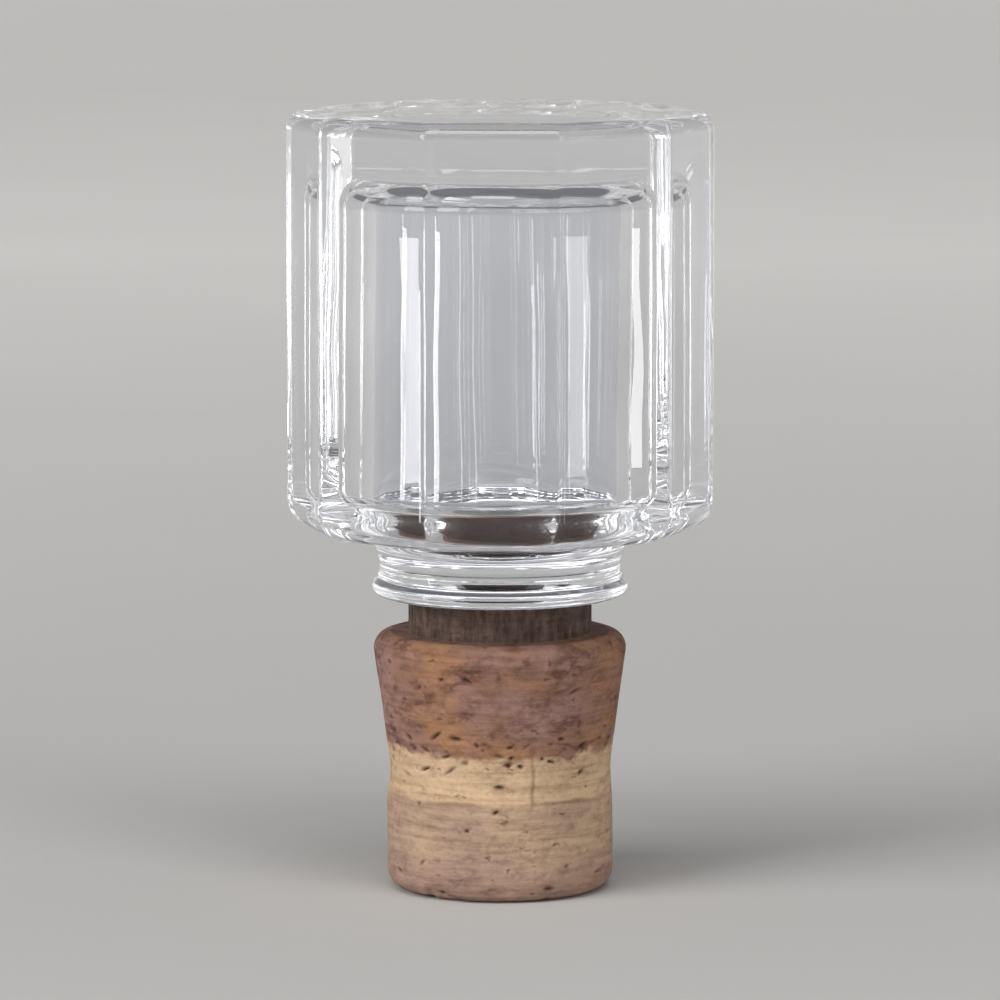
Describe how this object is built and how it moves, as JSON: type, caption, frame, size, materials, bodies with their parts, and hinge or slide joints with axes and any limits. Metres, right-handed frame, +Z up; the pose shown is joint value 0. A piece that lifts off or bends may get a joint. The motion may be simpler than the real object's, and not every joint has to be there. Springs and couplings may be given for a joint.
{
  "type": "glass stopper",
  "caption": "Hollow faceted clear glass knob on a short waisted neck, its peg glued into a natural cork with a collar and a slight flare, which closes the mouth of a decanter.",
  "frame": {"origin": "centre of the flat lower end of the cork, where the stopper stands on a table", "axes": "+Z up along the stopper's axis from the cork to the knob, -Y towards the middle of one flat of the knob"},
  "size_m": [0.052, 0.0496, 0.095],
  "materials": {
    "clear_glass": "clear blown glass, fire-polished, faintly blue-green in thick places",
    "natural_cork": "matte natural cork with dark pits, stained reddish brown at both ends"
  },
  "bodies": {
    "root": {"glass_knob": "clear_glass", "cork": "natural_cork"}
  },
  "joints": []
}
